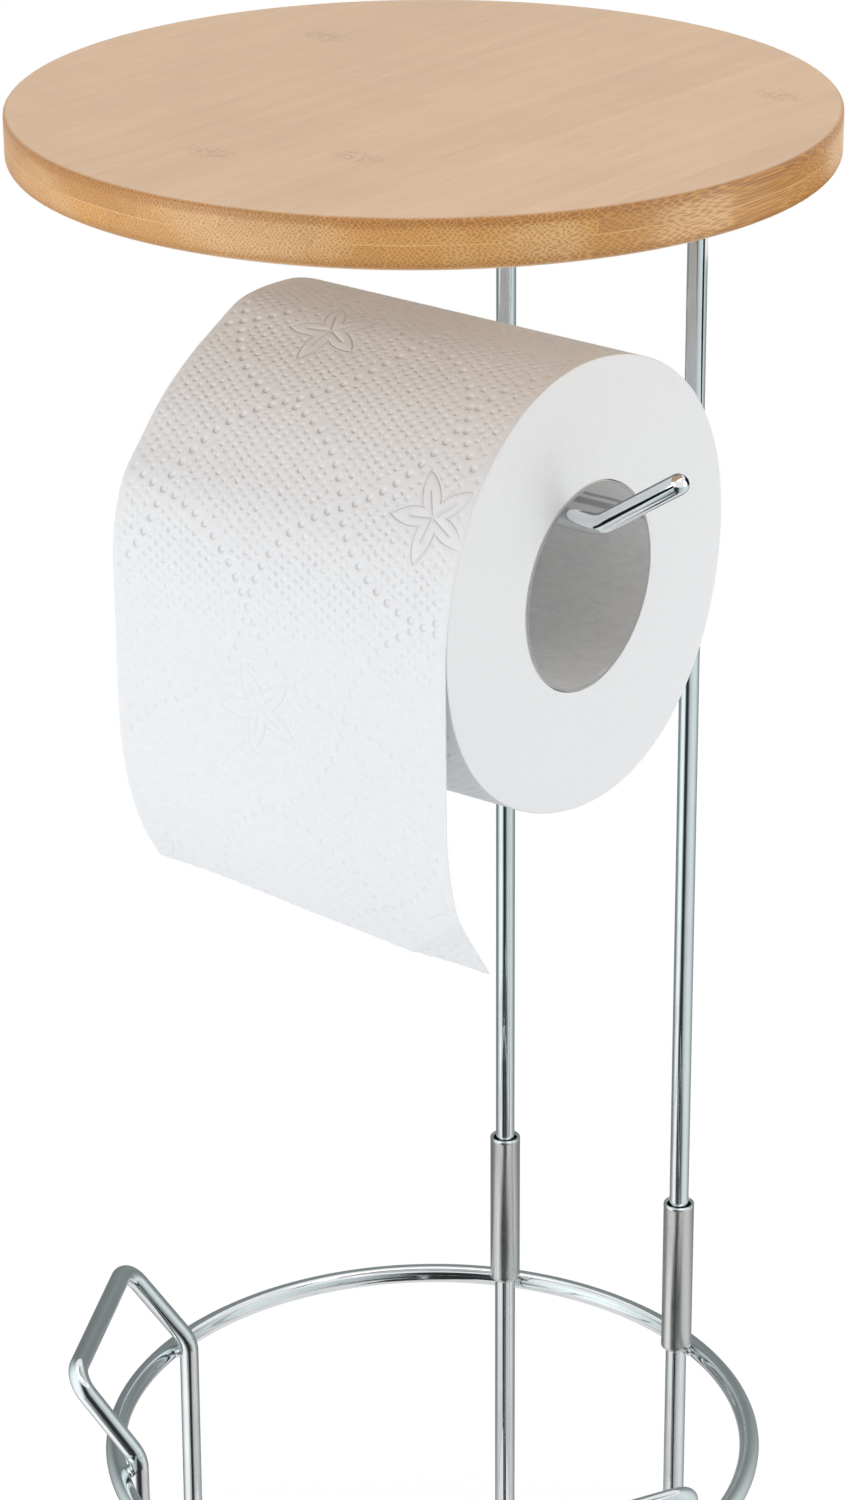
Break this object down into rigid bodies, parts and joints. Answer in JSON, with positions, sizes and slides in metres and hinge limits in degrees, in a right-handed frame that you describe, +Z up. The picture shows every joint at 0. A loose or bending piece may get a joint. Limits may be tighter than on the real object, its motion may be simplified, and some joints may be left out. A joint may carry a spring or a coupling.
{
  "type": "toilet paper stand",
  "caption": "Free-standing wire stand with a round bamboo shelf, a side arm that carries a toilet roll in use, and a ring basket below for spare rolls.",
  "frame": {"origin": "on the floor under the middle of the shelf", "axes": "+Z up, +Y to the back where the two uprights stand, +X towards the free end of the roll arm, and the paper hangs at the front, -Y"},
  "size_m": [0.19, 0.19, 0.6],
  "materials": {
    "bamboo": "satin",
    "bright_chrome": "polished",
    "satin_steel": "satin",
    "zinc_steel": "satin",
    "foot_plastic": "matte",
    "core_board": "matte",
    "tissue_paper": "matte"
  },
  "bodies": {
    "basket_base": {"lower_frame": "bright_chrome", "basket_guide_left": "bright_chrome", "basket_guide_right": "bright_chrome", "basket_ring": "bright_chrome", "base_ring": "bright_chrome", "sleeve_left": "satin_steel", "sleeve_right": "satin_steel", "foot_back_1": "foot_plastic", "foot_back_2": "foot_plastic", "foot_left_1": "foot_plastic", "foot_left_2": "foot_plastic", "foot_right_1": "foot_plastic", "foot_right_2": "foot_plastic"},
    "upper_stand": {"upper_frame": "bright_chrome", "bamboo_shelf": "bamboo", "roll_arm": "bright_chrome", "shelf_tab_front_left": "zinc_steel", "shelf_tab_front_right": "zinc_steel", "shelf_tab_back_left": "zinc_steel", "shelf_tab_back_right": "zinc_steel", "shelf_screw_front_left": "zinc_steel", "shelf_screw_front_right": "zinc_steel", "shelf_screw_back_left": "zinc_steel", "shelf_screw_back_right": "zinc_steel"},
    "roll": {"cardboard_core": "core_board", "paper_roll": "tissue_paper"},
    "free_sheet": {"hanging_sheet": "tissue_paper"}
  },
  "joints": [
    {"name": "upper_lift", "type": "slide", "parent": "basket_base", "child": "upper_stand", "axis": [0, 0, 1], "range_m": [0, 0.02]},
    {"name": "roll_spin", "type": "hinge", "parent": "upper_stand", "child": "roll", "pos_m": [0, -0.00048, 0.4926], "axis": [1, 0, 0], "continuous": true},
    {"name": "sheet_swing", "type": "hinge", "parent": "upper_stand", "child": "free_sheet", "pos_m": [0, -0.05623, 0.4926], "axis": [-1, 0, 0], "range_deg": [0, 40]}
  ]
}
